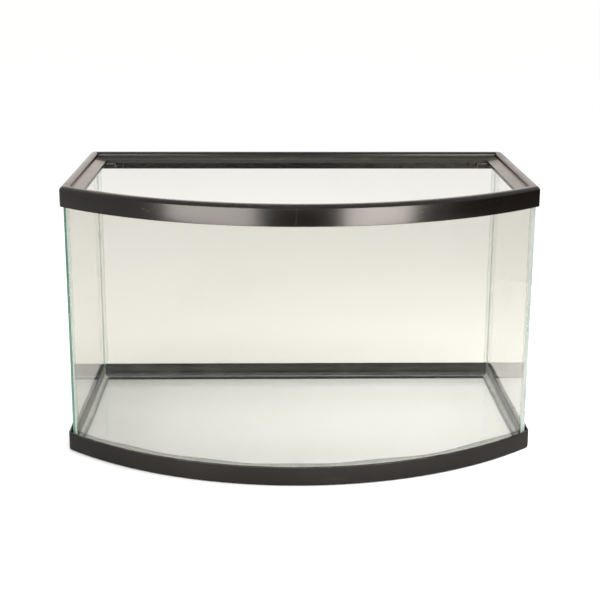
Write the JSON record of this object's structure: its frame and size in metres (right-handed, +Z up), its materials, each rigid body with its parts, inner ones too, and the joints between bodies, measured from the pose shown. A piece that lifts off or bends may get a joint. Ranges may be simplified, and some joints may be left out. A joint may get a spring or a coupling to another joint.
{
  "type": "aquarium tank",
  "caption": "Open-topped bow-front aquarium of silicone-bonded glass panels, with a bent front pane, a stepped black plastic top frame and a black plastic base frame.",
  "frame": {"origin": "middle of the footprint, on the surface that the tank stands on", "axes": "+X along the width to the right seen from the bowed front, +Y to the flat back, +Z up"},
  "size_m": [0.6022, 0.3792, 0.3505],
  "materials": {
    "top_frame_plastic": "satin moulded black plastic",
    "base_frame_plastic": "matte moulded black plastic",
    "glass": "clear float glass with green cut edges",
    "silicone": "clear cured silicone"
  },
  "bodies": {
    "root": {"top_frame": "top_frame_plastic", "base_frame": "base_frame_plastic", "left_glass": "glass", "right_glass": "glass", "back_glass": "glass", "front_glass": "glass", "floor_glass": "glass", "rear_left_silicone_seam": "silicone", "rear_right_silicone_seam": "silicone", "front_left_silicone_seam": "silicone", "front_right_silicone_seam": "silicone", "front_floor_silicone": "silicone", "right_floor_silicone": "silicone", "rear_floor_silicone": "silicone", "left_floor_silicone": "silicone", "top_bead_front": "silicone", "top_bead_rear": "silicone", "top_bead_left": "silicone", "top_bead_right": "silicone", "base_bead_front": "silicone", "base_bead_rear": "silicone", "base_bead_left": "silicone", "base_bead_right": "silicone"}
  },
  "joints": []
}
